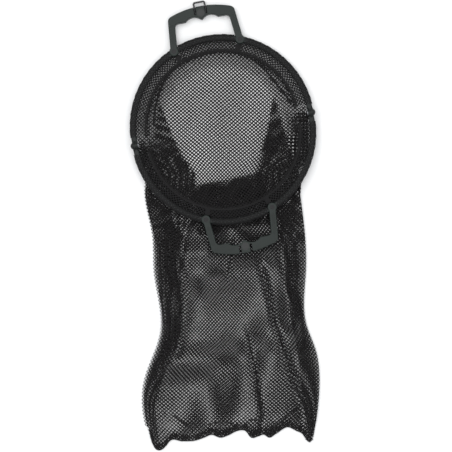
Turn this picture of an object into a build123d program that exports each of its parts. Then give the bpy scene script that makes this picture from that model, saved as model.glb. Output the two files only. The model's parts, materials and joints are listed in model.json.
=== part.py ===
from build123d import *
import os
from math import asin, atan2, cos, degrees, radians, sin, sqrt, tan

# A mesh catch bag on a hoop that folds in half. Two half hoops turn on a hinge line, each half
# carries a moulded hand grip, and a wire bail on the rear grip snaps over the front one when the
# bag is shut. The bag lies on its back on the floor with the hoop open flat.
#
# Millimetres, +Z up. X runs along the hinge line, +Y points from the hinge line to the rear grip,
# and the origin is on the floor under the middle of the hinge line. The open hoop lies on a plane
# of its own, which tips down a little towards the rear grip; both half hoops are the same moulding,
# turned half a turn about the upright through the origin.

# Hoop
ring_r = 145.0  # centre line of the bend
ring_w = 9.0  # across the moulding, in the hoop's plane
ring_t = 8.0  # through the moulding
ring_round = 2.5
straight = 5.0  # straight run from the bend to the hinge line

# Hinge
pin_r = 2.0
eye_r = 5.0
ear_t = 2.6  # each of the two ears of the fork
ear_gap = 0.2  # each side of the tongue, between the ears
hinge_clear = 0.3  # round an eye, and under a pin's head
heel_gap = 0.1  # each half hoop's end face to the hinge line: the open stop
web_len = 3.0  # how far an eye's web runs on past the eye
stack_gap = 0.6  # between the two halves when the hoop is folded shut
head_r = 5.0
head_h = 2.8
washer_t = 1.0
washer_r = 4.5
clinch_r = 3.0
clinch_h = 1.0
running = 0.05  # radial clearance of a pin, rivet or wire end in its hole
past = 1.0  # how far a cut runs on past what it cuts
touch = 0.01  # how near two heights are taken as the same

# Handles
handle_t = 12.0
leg_w = 11.0
leg_lean = 5.6  # degrees, inwards from foot to grip
foot_x = 54.6
foot_r = 7.5
foot_round = 4.0
grip_reach = 50.0  # from the hoop's outer edge to the top of the grip
grip_depth = 21.6  # top of the grip to the tips of the finger ridges
shoulder_drop = 10.6  # from the grip's top down to its shoulders
shoulder_round = 9.0
window_round = 6.0
finger_pitch = 28.0
finger_depth = 5.8
ridge_w = 3.0
ridge_round = 1.6
edge_round = 1.4
rib_w = 4.0  # channel along each leg, between its two ribs
rib_depth = 1.2
rib_inset = 4.8  # from the edge of a foot to the end of the channel
rivet_r = 2.0
rivet_head_r = 4.0
rivet_head_t = 1.0

# Latch bail
wire_r = 1.5
bail_half = 9.0  # from the middle to the centre line of each leg
bail_drop = 11.1  # from the grip's top down to the pivot
bail_snap = 0.1  # how much shorter the bail is than the two grips it closes over
bail_over = 2.0  # degrees that the shut bail leans past upright
bail_tip = 3.0  # length of each inward end inside the grip
bail_round = 2.5
slot_clear = 0.4
cap_r = 6.0
cap_t = 1.5

# Net sleeves and seams
sleeve_start = 14.0  # from the hinge line to where each sleeve begins
sleeve_t = 1.4
slit_clear = 0.4
slit_ease = 1.0  # a slit is this much wider than the leg in it
seam_inset = 18.0  # from the centre line of the hoop to the seam
tail_t = 2.4  # two layers of net between hoop and seam
tape_w = 3.0
tape_t = 3.6
binding_w = 8.0
binding_t = 0.8

# Bag
lay_tilt = 1.8  # degrees that the open hoop tips down towards the rear grip
lean = 10.8  # degrees that the bag's length leans from -Y towards -X
bag_half = 125.0  # half of the bag's width where it passes under the hoop
bag_top = -60.0
bag_length = 462.0  # from bag_top to the bottom corners
hem_w = 8.0
hem_t = 4.2
net_t = 1.4
back_ramp = 3.0  # length of the back net's rise to the rear seam, in heights of that rise
panel_t = 0.9
gusset_z = 1.7
front_low_z = 2.9
front_puff = 13.0  # how far the front net stands above its lowest level
puff_near = 0.8  # share of the puff halfway from its top to the fold
puff_far = 0.5  # share of the puff halfway from its top to the hem
puff_reach = 220.0  # from the lower crest to the top of the puff
gusset_inset = 4.0  # from the bag's side to the gusset's fold
front_inset = 3.0  # from the bag's side to the front net's edge
clear = 0.35

# Slack of the front net, folded under the hoop's front half while the hoop is open
crest_y = -81.0
crest_left = -60.0
crest_right = 36.0
mouth_left = -78.0
mouth_right = 72.0
fold_z = 5.2  # height of the lower fold above the floor
fold_half_gap = 0.15
fold_clear = 1.75  # from the lower fold to the front net beside it
panel_side = 2.0  # from the mouth's sides to the slack panels at the lower fold
throat_t = 0.8
lip_t = 1.0

# Derived sizes
axis_h = (handle_t + stack_gap) / 2  # the hinge line stands this far above the hoop's mid plane
seam_r = ring_r - seam_inset
foot_y = straight + sqrt(ring_r**2 - foot_x**2)
grip_top = straight + ring_r + ring_w / 2 + grip_reach
grip_in = grip_top - grip_depth
pivot_y = grip_top - bail_drop
bail_len = handle_t + stack_gap + handle_t / 2 - bail_snap  # pivot to the middle of the crossbar
lay_z = grip_top * sin(radians(lay_tilt)) + handle_t / 2 * cos(radians(lay_tilt))
floor_reach = 700.0  # past every end of the bag

rear_plane = Plane(
    origin=(0, 0, lay_z),
    x_dir=(1, 0, 0),
    z_dir=(0, sin(radians(lay_tilt)), cos(radians(lay_tilt))),
)
front_plane = Plane(origin=rear_plane.origin, x_dir=-rear_plane.x_dir, z_dir=rear_plane.z_dir)
bag_plane = Plane(
    origin=(0, 0, 0), x_dir=(cos(radians(lean)), -sin(radians(lean)), 0), z_dir=(0, 0, 1)
)
hinge_point = rear_plane.from_local_coords(Vector(0, 0, axis_h))


def place(base, x, y, z=0.0):
    """The point at x, y, z of a half hoop's own plane."""
    return base.from_local_coords(Vector(x, y, z))


def arc_plane(base, angle):
    """Upright plane out from the middle of the bend, at an angle round the half hoop."""
    out = base.x_dir * cos(radians(angle)) + base.y_dir * sin(radians(angle))
    return Plane(origin=place(base, 0, straight), x_dir=out, z_dir=out.cross(base.z_dir))


def side_plane(base, x):
    """Upright plane across the hinge line: its x runs away from the line and its y runs up."""
    return Plane(origin=place(base, x, 0), x_dir=base.y_dir, z_dir=base.x_dir)


def bend_axis(base):
    """The upright line that a half hoop bends about."""
    return Axis(place(base, 0, straight), base.z_dir)


def leg_x(y):
    """Distance of a leg's centre line from the middle of the handle."""
    return foot_x - (y - foot_y) * tan(radians(leg_lean))


def lay_height(y):
    """Height of the open hoop's mid plane above the floor."""
    return lay_z - y * tan(radians(lay_tilt))


def half_hoop(base):
    """Half hoop with a fork at one end and a tongue at the other."""
    fork_half = ring_w / 2
    tongue_half = ring_w / 2 - ear_t - ear_gap
    web_low = axis_h - eye_r
    web_high = ring_t / 2
    lugs = [
        (ring_r - fork_half, ear_t),
        (ring_r + fork_half - ear_t, ear_t),
        (-ring_r - tongue_half, 2 * tongue_half),
    ]
    with BuildPart() as hoop:
        with BuildSketch(arc_plane(base, 0)):
            with Locations((ring_r, 0)):
                RectangleRounded(ring_w, ring_t, ring_round)
        revolve(axis=bend_axis(base), revolution_arc=180)
        with BuildSketch(arc_plane(base, 0)):
            with Locations((ring_r, 0), (-ring_r, 0)):
                RectangleRounded(ring_w, ring_t, ring_round)
        extrude(amount=straight - heel_gap)
        with BuildSketch(side_plane(base, -ring_r - ring_w)):
            with Locations((0, axis_h)):
                Circle(eye_r + hinge_clear)
        extrude(amount=2 * (ring_r + ring_w), mode=Mode.SUBTRACT)
        for x, width in lugs:
            with BuildSketch(side_plane(base, x)):
                with Locations((0, axis_h)):
                    Circle(eye_r)
                with Locations((eye_r + web_len / 2, (web_low + web_high) / 2)):
                    Rectangle(web_len, web_high - web_low)
                make_hull()
            extrude(amount=width)
        with BuildSketch(side_plane(base, -ring_r - ring_w)):
            with Locations((0, axis_h)):
                Circle(pin_r + running)
        extrude(amount=2 * (ring_r + ring_w), mode=Mode.SUBTRACT)
        with BuildSketch(base.offset(-ring_t)):
            with Locations((foot_x, foot_y), (-foot_x, foot_y)):
                Circle(rivet_r + running)
        extrude(amount=2 * ring_t, mode=Mode.SUBTRACT)
    return hoop


def hinge_pin(side):
    """Domed pin from outside through an eye pair, with its inner end clinched over a washer."""
    inner = ring_r - ring_w / 2 - hinge_clear - washer_t
    outer = ring_r + ring_w / 2 + hinge_clear
    dome_r = (head_r**2 + head_h**2) / (2 * head_h)
    dome_half = asin(head_r / dome_r) / 2
    dome_mid = (outer + head_h - dome_r * (1 - cos(dome_half)), dome_r * sin(dome_half))
    line = Plane(origin=hinge_point, x_dir=(side, 0, 0), z_dir=(0, -side, 0))
    with BuildPart() as pin:
        with BuildSketch(line):
            with BuildLine():
                Polyline((outer, 0), (inner - clinch_h, 0), (inner - clinch_h, clinch_r))
                Polyline((inner - clinch_h, clinch_r), (inner, clinch_r), (inner, pin_r))
                Polyline((inner, pin_r), (outer, pin_r), (outer, head_r))
                dome = ThreePointArc((outer, head_r), dome_mid, (outer + head_h, 0))
                Line(dome @ 1, (outer, 0))
            make_face()
        revolve(axis=Axis(hinge_point, (side, 0, 0)))
    return pin


def hinge_washer(side):
    """Washer between the hoop's inner face and the pin's clinched end."""
    inner = ring_r - ring_w / 2 - hinge_clear - washer_t
    seat = Plane(origin=hinge_point + Vector(side * inner, 0, 0), z_dir=(side, 0, 0))
    with BuildPart() as washer:
        with BuildSketch(seat):
            Circle(washer_r)
            Circle(pin_r + running, mode=Mode.SUBTRACT)
        extrude(amount=washer_t)
    return washer


def handle(base, takes_bail):
    """Moulded grip on two leaning legs whose forked feet straddle the hoop."""
    slot_x = (bail_half - wire_r - slot_clear, bail_half + wire_r + slot_clear)
    slot_w = slot_x[1] - slot_x[0]
    chord = (finger_pitch - ridge_w) / 2
    finger_r = (chord**2 + finger_depth**2) / (2 * finger_depth)
    finger_y = grip_in + finger_depth - finger_r
    shoulder_y = grip_top - shoulder_drop
    shoulder_x = leg_x(shoulder_y) + leg_w / 2
    below = foot_y - 2 * foot_r
    upright = Axis(base.origin, base.z_dir)
    with BuildPart() as grip:
        with BuildSketch(base.offset(-handle_t / 2)) as plan:
            with BuildLine():
                left = Line((-leg_x(foot_y) - leg_w / 2, foot_y), (-shoulder_x, shoulder_y))
                top = ThreePointArc(left @ 1, (0, grip_top), (shoulder_x, shoulder_y))
                right = Line(top @ 1, (leg_x(foot_y) + leg_w / 2, foot_y))
                Line(right @ 1, left @ 0)
            make_face()
            fillet(plan.vertices().group_by(Axis.Y)[-1], shoulder_round)
            with BuildLine():
                Polyline(
                    (-leg_x(below) + leg_w / 2, below),
                    (-leg_x(grip_in) + leg_w / 2, grip_in),
                    (leg_x(grip_in) - leg_w / 2, grip_in),
                    (leg_x(below) - leg_w / 2, below),
                    close=True,
                )
            make_face(mode=Mode.SUBTRACT)
            fillet(plan.vertices().filter_by(lambda v: abs(v.Y - grip_in) < touch), window_round)
            with Locations((-finger_pitch / 2, finger_y), (finger_pitch / 2, finger_y)):
                Circle(finger_r, mode=Mode.SUBTRACT)
            tips = plan.vertices().filter_by(
                lambda v: abs(v.Y - grip_in) < touch and abs(v.X) < finger_pitch
            )
            fillet(tips, ridge_round)
            with Locations((-foot_x, foot_y), (foot_x, foot_y)):
                Circle(foot_r)
            notches = plan.vertices().filter_by(
                lambda v: foot_y + touch < v.Y < foot_y + foot_r - touch
            )
            fillet(notches, foot_round)
        extrude(amount=handle_t)
        faces = grip.faces().sort_by(upright)
        fillet(faces[0].edges() + faces[-1].edges(), edge_round)
        with BuildSketch(arc_plane(base, 0)):
            slot_out = ring_r + ring_w / 2 + running
            slot_in = ring_r - 2 * foot_r
            with Locations(((slot_out + slot_in) / 2, 0)):
                Rectangle(slot_out - slot_in, ring_t)
        revolve(axis=bend_axis(base), revolution_arc=180, mode=Mode.SUBTRACT)
        with BuildSketch(base.offset(-handle_t)):
            with Locations((-foot_x, foot_y), (foot_x, foot_y)):
                Circle(rivet_r + running)
        extrude(amount=2 * handle_t, mode=Mode.SUBTRACT)
        for level in (-handle_t / 2, handle_t / 2 - rivet_head_t):
            with BuildSketch(base.offset(level)):
                with Locations((-foot_x, foot_y), (foot_x, foot_y)):
                    Circle(rivet_head_r + running)
            extrude(amount=rivet_head_t, mode=Mode.SUBTRACT)
        rib_low = foot_y + foot_r + rib_inset
        rib_high = grip_in
        rib_mid = (rib_low + rib_high) / 2
        for level in (-handle_t / 2, handle_t / 2 - rib_depth):
            for side in (-1, 1):
                with BuildSketch(base.offset(level)):
                    with Locations((side * leg_x(rib_mid), rib_mid)):
                        SlotOverall(rib_high - rib_low, rib_w, rotation=90 + side * leg_lean)
                extrude(amount=rib_depth, mode=Mode.SUBTRACT)
        with BuildSketch(base.offset(handle_t / 2 - cap_t)):
            with Locations((0, pivot_y)):
                Circle(cap_r + running)
        extrude(amount=cap_t, mode=Mode.SUBTRACT)
        slot_low = pivot_y - wire_r - slot_clear - bail_len * sin(radians(bail_over))
        slot_len = grip_top + past - slot_low
        slot_z = -wire_r - heel_gap
        if takes_bail:
            slot_z = -handle_t
        with BuildSketch(base.offset(slot_z)):
            with Locations((-bail_half, slot_low + slot_len / 2), (bail_half, slot_low + slot_len / 2)):
                Rectangle(slot_w, slot_len)
        extrude(amount=2 * handle_t, mode=Mode.SUBTRACT)
        if takes_bail:
            # seat for the crossbar, turned about the pivot of the grip it is folded onto
            with BuildSketch(side_plane(base, -slot_x[1])):
                with Locations((slot_low + slot_len / 2, -handle_t / 2)):
                    Rectangle(slot_len + slot_clear, handle_t)
                with Locations((pivot_y, 2 * axis_h)):
                    Circle(bail_len - wire_r - slot_clear, mode=Mode.SUBTRACT)
            extrude(amount=2 * slot_x[1], mode=Mode.SUBTRACT)
        else:
            for x in (-slot_x[0], slot_x[0] - bail_tip - running):
                with BuildSketch(side_plane(base, x)):
                    with Locations((pivot_y, 0)):
                        Circle(wire_r + running)
                extrude(amount=bail_tip + running, mode=Mode.SUBTRACT)
    return grip


def handle_rivets(base):
    """The two rivets that hold a handle's feet on the hoop, flush in both faces."""
    with BuildPart() as rivets:
        with BuildSketch(base.offset(-handle_t / 2)):
            with Locations((-foot_x, foot_y), (foot_x, foot_y)):
                Circle(rivet_r)
        extrude(amount=handle_t)
        for level in (-handle_t / 2, handle_t / 2 - rivet_head_t):
            with BuildSketch(base.offset(level)):
                with Locations((-foot_x, foot_y), (foot_x, foot_y)):
                    Circle(rivet_head_r)
            extrude(amount=rivet_head_t)
    return rivets


def grip_cap(base):
    """Round plug pressed into the middle of a grip."""
    with BuildPart() as cap:
        with BuildSketch(base.offset(handle_t / 2 - cap_t)):
            with Locations((0, pivot_y)):
                Circle(cap_r)
        extrude(amount=cap_t)
    return cap


def bail(base):
    """Wire loop whose inward ends turn in the rear grip."""
    tip = bail_half - wire_r - slot_clear - bail_tip
    with BuildPart() as loop:
        with BuildLine(base) as path:
            FilletPolyline(
                (-tip, pivot_y),
                (-bail_half, pivot_y),
                (-bail_half, pivot_y + bail_len),
                (bail_half, pivot_y + bail_len),
                (bail_half, pivot_y),
                (tip, pivot_y),
                radius=[wire_r + slot_clear, bail_round, bail_round, wire_r + slot_clear],
            )
        with BuildSketch(Plane(origin=path.line @ 0, z_dir=path.line % 0)):
            Circle(wire_r)
        sweep()
    return loop


def sleeve(base):
    """Hem of net wrapped round a half hoop, with its two layers running in to the seam."""
    start = degrees(asin((sleeve_start - straight) / ring_r))
    tail_out = ring_r - ring_w / 2 - sleeve_t / 2
    with BuildPart() as cloth:
        with BuildSketch(arc_plane(base, start)):
            with Locations((ring_r, 0)):
                RectangleRounded(
                    ring_w + 2 * sleeve_t, ring_t + 2 * sleeve_t, ring_round + sleeve_t
                )
            with Locations(((tail_out + seam_r) / 2, 0)):
                Rectangle(tail_out - seam_r, tail_t)
            with Locations((ring_r, 0)):
                RectangleRounded(ring_w, ring_t, ring_round, mode=Mode.SUBTRACT)
        revolve(axis=bend_axis(base), revolution_arc=180 - 2 * start)
        with BuildSketch(base.offset(-handle_t)):
            for side in (-1, 1):
                with Locations((side * foot_x, foot_y)):
                    Circle(foot_r + slit_clear)
                with Locations((side * leg_x(foot_y + foot_r), foot_y + foot_r)):
                    Rectangle(
                        leg_w + 2 * slit_clear + slit_ease, 2 * foot_r, rotation=side * leg_lean
                    )
        extrude(amount=2 * handle_t, mode=Mode.SUBTRACT)
    return cloth


def seam_tape(base):
    """Tape that binds the inner edge of a sleeve to the net."""
    start = degrees(asin((sleeve_start - straight) / ring_r))
    with BuildPart() as tape:
        with BuildSketch(arc_plane(base, start)):
            with Locations((seam_r - tape_w / 2, 0)):
                Rectangle(tape_w, tape_t)
        revolve(axis=bend_axis(base), revolution_arc=180 - 2 * start)
    return tape


def foot_binding(base, side):
    """Strip sewn on a sleeve between the slit for a handle's foot and the seam."""
    angle = degrees(atan2(foot_y - straight, side * foot_x))
    outer = ring_r - foot_r - slit_clear
    middle = (outer + seam_r) / 2
    with BuildPart() as binding:
        with BuildSketch(base.offset(tail_t / 2)):
            with Locations(
                (middle * cos(radians(angle)), straight + middle * sin(radians(angle)))
            ):
                Rectangle(outer - seam_r, binding_w, rotation=angle)
        extrude(amount=binding_t)
    return binding


# The bag's sides and bottom edge, in its own plane: each side is a list of how far down the bag
# a point is, as a share of its length, and how far it stands out past the bag's half width.
left_side = [(0, -7), (0.08, 1), (0.25, -12), (0.37, -14), (0.58, -25), (0.76, 2), (0.9, 1), (1, -15)]
right_side = [(0, -7), (0.08, -1), (0.23, 9), (0.37, 11), (0.56, 12), (0.64, 26), (0.79, 33), (0.97, 21)]
# How far the bottom edge rises above the corners, at shares of the bag's width.
bottom_edge = [(0.08, 11), (0.26, 14), (0.42, 19), (0.52, 29), (0.64, 22), (0.74, 23), (0.85, 36), (0.94, 26)]


def side_points(side, stations, inset):
    """Points down one side of the bag, in the bag's plane."""
    return [(side * (bag_half + out - inset), bag_top - share * bag_length) for share, out in stations]


def bottom_points(rise_by):
    """Points along the bag's bottom edge, or along a line that stands higher."""
    left = side_points(-1, left_side, 0)[-1]
    right = side_points(1, right_side, 0)[-1]
    between = [
        (left[0] + share * (right[0] - left[0]), bag_top - bag_length + rise)
        for share, rise in bottom_edge
    ]
    return [(x, y + rise_by) for x, y in [left] + between + [right]]


def bag_outline(inset=0.0):
    """Face of the bag's outline, pulled in at the sides."""
    left = side_points(-1, left_side, inset)
    right = side_points(1, right_side, inset)
    bottom = bottom_points(0)
    with BuildSketch() as outline:
        with BuildLine():
            Spline(left)
            Spline([left[-1]] + bottom[1:-1] + [right[-1]])
            Spline(right)
            Line(left[0], right[0])
        make_face()
    return outline.sketch_local


def hem_zone():
    """Face of everything below the upper edge of the hem."""
    edge = bottom_points(hem_w)
    low = (0, -2 * bag_length)
    with BuildSketch() as zone:
        with BuildLine():
            Spline(edge)
            Polyline(
                edge[-1],
                (edge[-1][0] + bag_half, edge[-1][1]),
                (edge[-1][0] + bag_half, low[1]),
                (edge[0][0] - bag_half, low[1]),
                (edge[0][0] - bag_half, edge[0][1]),
                edge[0],
            )
        make_face()
    return zone.sketch_local


def strip(points, thickness):
    """Face between a line of points and the same line raised."""
    raised = [(y, z + thickness) for y, z in reversed(points)]
    with BuildSketch() as band:
        with BuildLine():
            Polyline(points + raised, close=True)
        make_face()
    return band.sketch_local


def back_net():
    """Back of the bag: flat on the floor and rising to the rear seam."""
    rim = seam_r - tape_w - clear
    rim_y = straight + rim
    rim_z = lay_height(rim_y) - net_t / 2
    with BuildPart() as net:
        with BuildSketch(Plane.YZ.offset(-floor_reach)):
            add(strip([(-floor_reach, 0), (rim_y - back_ramp * rim_z, 0), (rim_y, rim_z)], net_t))
        extrude(amount=2 * floor_reach)
        with BuildSketch(bag_plane):
            add(bag_outline())
            with Locations((straight * sin(radians(lean)), straight * cos(radians(lean)))):
                Circle(rim)
            add(hem_zone(), mode=Mode.SUBTRACT)
        extrude(amount=2 * lay_z, mode=Mode.INTERSECT)
    return net


def front_net():
    """Front of the bag: from the lower crest down under the hoop, then puffed over the pouch."""
    crest_low = crest_lower[1] - fold_half_gap - throat_t - clear - panel_t
    puff_y = crest_y - puff_reach
    end_y = (bag_top - bag_length + max(rise for _, rise in bottom_edge) + hem_w) * cos(radians(lean))
    profile = [
        (-floor_reach, front_low_z),
        (end_y, front_low_z),
        ((puff_y + end_y) / 2, front_low_z + puff_far * front_puff),
        (puff_y, front_low_z + front_puff),
        ((puff_y + fold_y) / 2, front_low_z + puff_near * front_puff),
        (fold_y - fold_clear, front_low_z),
        (crest_y, crest_low),
    ]
    with BuildPart() as net:
        with BuildSketch(Plane.YZ.offset(-floor_reach)):
            add(strip(profile, panel_t))
        extrude(amount=2 * floor_reach)
        with BuildSketch(bag_plane):
            add(bag_outline(front_inset))
            add(hem_zone(), mode=Mode.SUBTRACT)
        extrude(amount=3 * lay_z, mode=Mode.INTERSECT)
    return net


def gusset(side, inner):
    """Folded side of the bag, between its front and its back."""
    stations = left_side if side < 0 else right_side
    outer = side_points(side, stations, gusset_inset)
    with BuildPart() as fold:
        with BuildSketch(bag_plane.offset(gusset_z)):
            with BuildLine():
                Spline(outer)
                Polyline([outer[-1]] + inner + [outer[0]])
            make_face()
            add(hem_zone(), mode=Mode.SUBTRACT)
        extrude(amount=panel_t)
    return fold


def front_lip_net():
    """Net between the front seam and the upper crest, in the plane of the hoop's front half."""
    rim = seam_r - tape_w
    with BuildPart() as lip:
        with BuildSketch(front_plane.offset(fold_half_gap)):
            with Locations((0, straight)):
                Circle(rim)
            with Locations((0, sleeve_start - rim)):
                Rectangle(3 * rim, 2 * rim, mode=Mode.SUBTRACT)
            with BuildLine():
                Polyline(
                    (-mouth_right, sleeve_start - past),
                    (-crest_right, -crest_y),
                    (-crest_left, -crest_y),
                    (-mouth_left, sleeve_start - past),
                    close=True,
                )
            make_face(mode=Mode.SUBTRACT)
        extrude(amount=lip_t)
    return lip


def throat_panel(crest, gap):
    """Flat panel of slack net from a crest to the lower fold, on one side of the line between."""
    along = Vector(0, fold_y - crest[0], fold_z - crest[1])
    panel_plane = Plane(origin=(0, crest[0], crest[1]), x_dir=(1, 0, 0), z_dir=(0, along.Z, -along.Y))
    with BuildPart() as panel:
        with BuildSketch(panel_plane.offset(gap)):
            with BuildLine():
                Polyline(
                    (crest_left + clear, -clear),
                    (crest_right - clear, -clear),
                    (mouth_right - panel_side, clear - along.length),
                    (mouth_left + panel_side, clear - along.length),
                    close=True,
                )
            make_face()
        extrude(amount=throat_t)
    return panel


def bottom_hem():
    """Rolled bottom edge of the bag."""
    with BuildPart() as hem:
        with BuildSketch(bag_plane):
            add(bag_outline())
            add(hem_zone(), mode=Mode.INTERSECT)
        extrude(amount=hem_t)
    return hem


# The slack panels and the two crests make a parallelogram with the hinge line, so the panels'
# free edges stay together at every angle of the hoop.
crest_upper = (crest_y, lay_height(crest_y) - throat_t - clear)
crest_lower = (crest_y, fold_z + hinge_point.Z - crest_upper[1])
fold_y = crest_upper[0] + crest_lower[0] - hinge_point.Y

left_inner = [(-95, -500), (-90, -405), (-70, -300), (-77, -245), (-84, -110)]
right_inner = [(128, -470), (104, -376), (90, -327), (74, -258), (84, -110)]

pieces = {
    "rear_hoop": half_hoop(rear_plane),
    "front_hoop": half_hoop(front_plane),
    "left_hinge_pin": hinge_pin(-1),
    "right_hinge_pin": hinge_pin(1),
    "left_hinge_washer": hinge_washer(-1),
    "right_hinge_washer": hinge_washer(1),
    "rear_handle": handle(rear_plane, takes_bail=False),
    "front_handle": handle(front_plane, takes_bail=True),
    "rear_handle_rivets": handle_rivets(rear_plane),
    "front_handle_rivets": handle_rivets(front_plane),
    "rear_grip_cap": grip_cap(rear_plane),
    "front_grip_cap": grip_cap(front_plane),
    "latch_bail": bail(rear_plane),
    "rear_sleeve": sleeve(rear_plane),
    "front_sleeve": sleeve(front_plane),
    "rear_seam_tape": seam_tape(rear_plane),
    "front_seam_tape": seam_tape(front_plane),
    "rear_left_binding": foot_binding(rear_plane, -1),
    "rear_right_binding": foot_binding(rear_plane, 1),
    "front_left_binding": foot_binding(front_plane, 1),
    "front_right_binding": foot_binding(front_plane, -1),
    "back_net": back_net(),
    "front_net": front_net(),
    "left_gusset": gusset(-1, left_inner),
    "right_gusset": gusset(1, right_inner),
    "front_lip_net": front_lip_net(),
    "throat_upper_net": throat_panel(crest_upper, fold_half_gap),
    "throat_lower_net": throat_panel(crest_lower, -fold_half_gap - throat_t),
    "bottom_hem": bottom_hem(),
}

os.makedirs("parts", exist_ok=True)
for name, piece in pieces.items():
    piece.part.label = name
    export_step(piece.part, f"parts/{name}.step")

print("hinge line", [round(v, 4) for v in hinge_point])
print("bail pivot", [round(v, 4) for v in place(rear_plane, 0, pivot_y)])
print("upper crest", [round(v, 4) for v in crest_upper], "lower crest", [round(v, 4) for v in crest_lower])
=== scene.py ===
"""Looks of a mesh catch bag that lies open on a pale floor.

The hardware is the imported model's own, with moulded, coated and pressed finishes. The net is made here:
every panel is one closed mesh of knotted strands, laid over a surface that is a formula of two cloth
coordinates. All is in metres and in the frame's axes: X along the hoop's hinge line, +Y towards the rear
grip, Z up from the floor.
"""
import json
import math

import bpy
import numpy as np
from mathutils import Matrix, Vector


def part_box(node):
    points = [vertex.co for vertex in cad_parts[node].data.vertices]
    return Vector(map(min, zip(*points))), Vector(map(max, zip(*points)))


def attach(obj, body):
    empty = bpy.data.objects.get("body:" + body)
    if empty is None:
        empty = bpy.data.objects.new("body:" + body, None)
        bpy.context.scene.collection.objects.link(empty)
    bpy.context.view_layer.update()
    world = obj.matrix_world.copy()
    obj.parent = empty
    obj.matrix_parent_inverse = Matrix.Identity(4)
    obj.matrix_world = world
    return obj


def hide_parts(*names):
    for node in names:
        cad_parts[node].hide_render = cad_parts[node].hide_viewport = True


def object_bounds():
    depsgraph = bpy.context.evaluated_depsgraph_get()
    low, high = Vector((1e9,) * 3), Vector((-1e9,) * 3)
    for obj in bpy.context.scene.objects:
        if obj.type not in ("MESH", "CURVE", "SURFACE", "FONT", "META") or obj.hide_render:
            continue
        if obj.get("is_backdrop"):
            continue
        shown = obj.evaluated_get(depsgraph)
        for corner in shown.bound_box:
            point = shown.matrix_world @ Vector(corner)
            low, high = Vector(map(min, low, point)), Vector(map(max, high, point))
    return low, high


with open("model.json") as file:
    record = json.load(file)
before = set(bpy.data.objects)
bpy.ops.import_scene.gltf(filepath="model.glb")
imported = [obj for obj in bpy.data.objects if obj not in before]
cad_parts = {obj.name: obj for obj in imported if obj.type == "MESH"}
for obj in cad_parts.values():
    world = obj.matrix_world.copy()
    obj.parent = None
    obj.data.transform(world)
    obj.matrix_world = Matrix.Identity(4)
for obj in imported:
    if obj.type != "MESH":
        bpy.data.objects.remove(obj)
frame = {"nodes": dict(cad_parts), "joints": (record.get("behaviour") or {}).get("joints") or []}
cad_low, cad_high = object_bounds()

MM = 0.001

# --- Sizes shared with the hardware -------------------------------------------------------------------
RING_W = 9.0 * MM  # hoop moulding, across
RING_T = 8.0 * MM  # hoop moulding, through
STRAIGHT = 5.0 * MM  # hinge line to the start of the hoop's bend
AXIS_HEIGHT = 6.3 * MM  # hinge line above the hoop's mid plane
SEAM_INSET = 18.0 * MM  # centre line of the hoop to the seam
SLEEVE_START = 14.0 * MM  # hinge line to the end of each sleeve
FOOT_X = 54.6 * MM  # middle of the handle to the middle of a foot
LEG_LEAN = math.radians(5.6)
BAG_LEAN = math.radians(10.8)  # the bag's length leans from -Y towards -X
CREST_X = (-60.0 * MM, 36.0 * MM)  # ends of the two crests of slack net
FOLD_X = (-76.0 * MM, 70.0 * MM)  # ends of the lower fold between them
FOLD_Z = 5.2 * MM  # height of that fold

joints = {j["name"]: j for j in frame["joints"]}
hinge = np.array(joints["hoop_fold"]["pos_m"])
crest_up = np.array(joints["throat_upper_fold"]["pos_m"])
crest_low = np.array(joints["throat_lower_fold"]["pos_m"])
fold_y = crest_up[1] + crest_low[1] - hinge[1]
lay_tilt = math.asin(hinge[1] / AXIS_HEIGHT)
lay_z = hinge[2] - AXIS_HEIGHT * math.cos(lay_tilt)
ring_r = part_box("rear_hoop")[1].x - RING_W / 2
seam_r = ring_r - SEAM_INSET
foot_y = STRAIGHT + math.sqrt(ring_r**2 - FOOT_X**2)

# --- Net -----------------------------------------------------------------------------------------------
MESH = 5.8 * MM  # diagonal of one diamond of the net
HALF = MESH / 2  # from a knot to the middle of the next opening
STRAND = 1.1 * MM  # width of a strand between two knots
SIDE_STRAND = 1.0 * MM  # the same in the lighter net of the sides
BACK_STRAND = 1.5 * MM  # the same in the heavier net behind the mouth and round the hoop
LOWER_STRAND = 1.2 * MM  # the same in the back of the pouch
KNOT = 2.15 * MM  # width of the net across a knot
THICK = 1.3 * MM  # through a knot
STRAND_THICK = 0.8  # a strand's thickness as a share of a knot's


def smooth(t):
    """0 below 0, 1 above 1 and 3t^2 - 2t^3 between."""
    t = np.clip(t, 0, 1)
    return t * t * (3 - 2 * t)


def steps(x, knots):
    """A value that runs through the knots (x, value), level at each and smooth between them."""
    xs, values = (np.array(c, float) for c in zip(*sorted(knots)))
    i = np.clip(np.searchsorted(xs, x) - 1, 0, len(xs) - 2)
    return values[i] + (values[i + 1] - values[i]) * smooth((x - xs[i]) / (xs[i + 1] - xs[i]))


def curve(x, knots):
    """A smooth line through the knots (x, value): cubic pieces with the mean slope of their neighbours."""
    xs, values = (np.array(c, float) for c in zip(*sorted(knots)))
    slope = np.gradient(values, xs)
    i = np.clip(np.searchsorted(xs, x) - 1, 0, len(xs) - 2)
    h = xs[i + 1] - xs[i]
    t = np.clip((x - xs[i]) / h, 0, 1)
    a, b = values[i], values[i + 1]
    rest = t * (1 - t) * h * (slope[i] * (1 - t) - slope[i + 1] * t)
    return a + (b - a) * smooth(t) + rest


def lay(x, y, z):
    """From the open hoop's own plane, z above its mid plane, to the frame: a tilt about X and a lift."""
    c, s = math.cos(lay_tilt), math.sin(lay_tilt)
    return np.stack([x, y * c + z * s, lay_z - y * s + z * c], axis=-1)


def mid_height(y):
    """Height of the hoop's mid plane over the floor."""
    return lay_z - y * math.tan(lay_tilt)


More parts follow.
